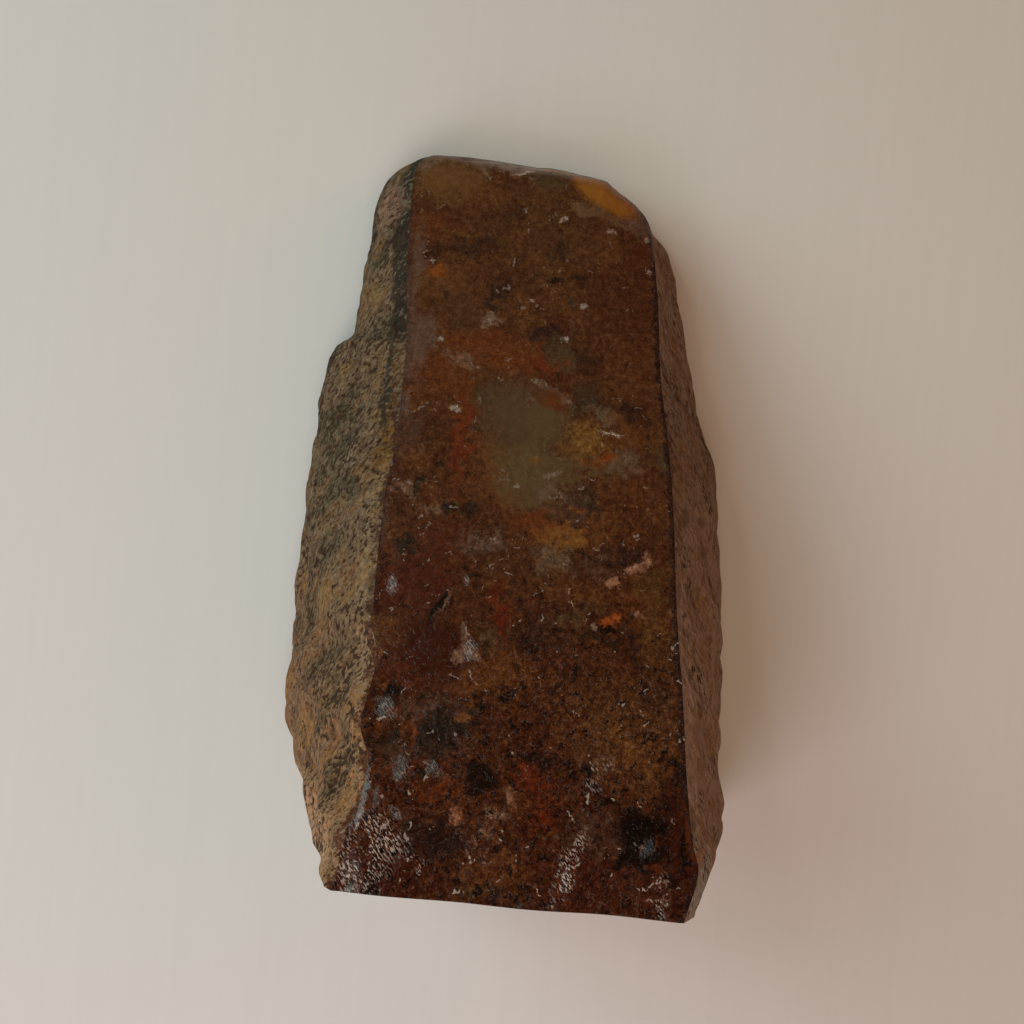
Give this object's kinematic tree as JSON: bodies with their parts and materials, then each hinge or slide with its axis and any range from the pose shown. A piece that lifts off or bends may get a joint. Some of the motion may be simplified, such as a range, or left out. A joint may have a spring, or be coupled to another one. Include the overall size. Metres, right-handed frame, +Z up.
{
  "type": "polished stone freeform",
  "caption": "Wedge-shaped block of moss jasper and chalcedony with a polished front face, natural sides and back, and a flat sawn base.",
  "frame": {"origin": "under the middle of the stone's box, on the surface that its flat back spot rests on", "axes": "+Y from the sawn base to the thin tip, +Z up through the polished face, +X across it to the right"},
  "size_m": [0.087, 0.126, 0.061],
  "materials": {
    "stone": "polished front face, matt natural skin on the sides and back, fine-sawn base"
  },
  "bodies": {
    "root": {"stone": "stone"}
  },
  "joints": []
}
